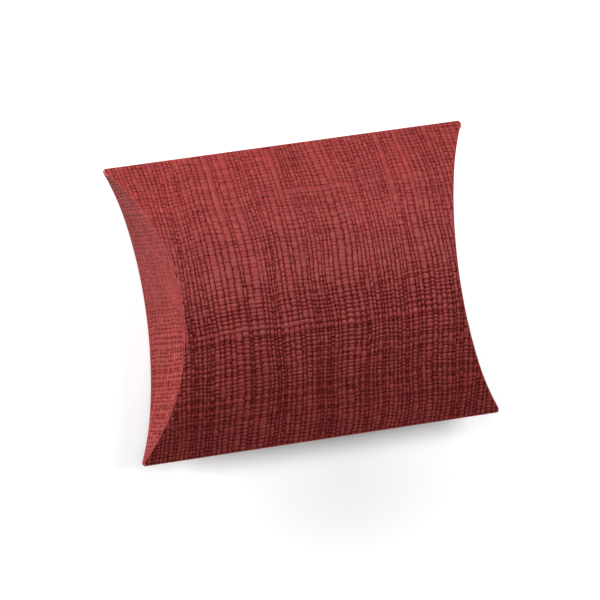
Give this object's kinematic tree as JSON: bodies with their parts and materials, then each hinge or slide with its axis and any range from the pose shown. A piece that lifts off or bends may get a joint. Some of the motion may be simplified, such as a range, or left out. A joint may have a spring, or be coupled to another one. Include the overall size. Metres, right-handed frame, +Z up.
{
  "type": "pillow favor box",
  "caption": "Pillow-shaped favor box of linen-embossed card: two bulging panels joined by straight folds and a glued seam, closed at each end by curved flaps that fold in over each other.",
  "frame": {"origin": "under the middle of the box, on the strip of the back panel that it rests on", "axes": "+X along the straight folds, +Y across the box towards the plain fold, +Z up through the front panel"},
  "size_m": [0.1, 0.0746, 0.0227],
  "materials": {
    "embossed_card": "satin",
    "creased_card": "satin",
    "adhesive": "satin"
  },
  "bodies": {
    "shell": {"front_panel": "embossed_card", "back_panel": "embossed_card", "upper_fold": "creased_card", "seam_fold": "creased_card", "glue_flap": "embossed_card", "glue_line": "adhesive"},
    "left_outer": {"left_outer_crease": "creased_card", "left_outer_flap": "embossed_card"},
    "left_inner": {"left_inner_crease": "creased_card", "left_inner_flap": "embossed_card"},
    "right_outer": {"right_outer_crease": "creased_card", "right_outer_flap": "embossed_card"},
    "right_inner": {"right_inner_crease": "creased_card", "right_inner_flap": "embossed_card"}
  },
  "joints": [
    {"name": "left_outer_flap_fold", "type": "hinge", "parent": "shell", "child": "left_outer", "pos_m": [-0.0386, 0, 0.02273], "axis": [0, 1, 0], "range_deg": [0, 90]},
    {"name": "left_inner_flap_fold", "type": "hinge", "parent": "shell", "child": "left_inner", "pos_m": [-0.03805, 0, 0], "axis": [0, -1, 0], "range_deg": [0, 45]},
    {"name": "right_outer_flap_fold", "type": "hinge", "parent": "shell", "child": "right_outer", "pos_m": [0.0386, 0, 0.02273], "axis": [0, -1, 0], "range_deg": [0, 90]},
    {"name": "right_inner_flap_fold", "type": "hinge", "parent": "shell", "child": "right_inner", "pos_m": [0.03805, 0, 0], "axis": [0, 1, 0], "range_deg": [0, 45]}
  ],
  "couplings": [
    {"joint": "left_inner_flap_fold", "follows": "left_outer_flap_fold", "ratio": 0.5},
    {"joint": "right_inner_flap_fold", "follows": "right_outer_flap_fold", "ratio": 0.5}
  ]
}
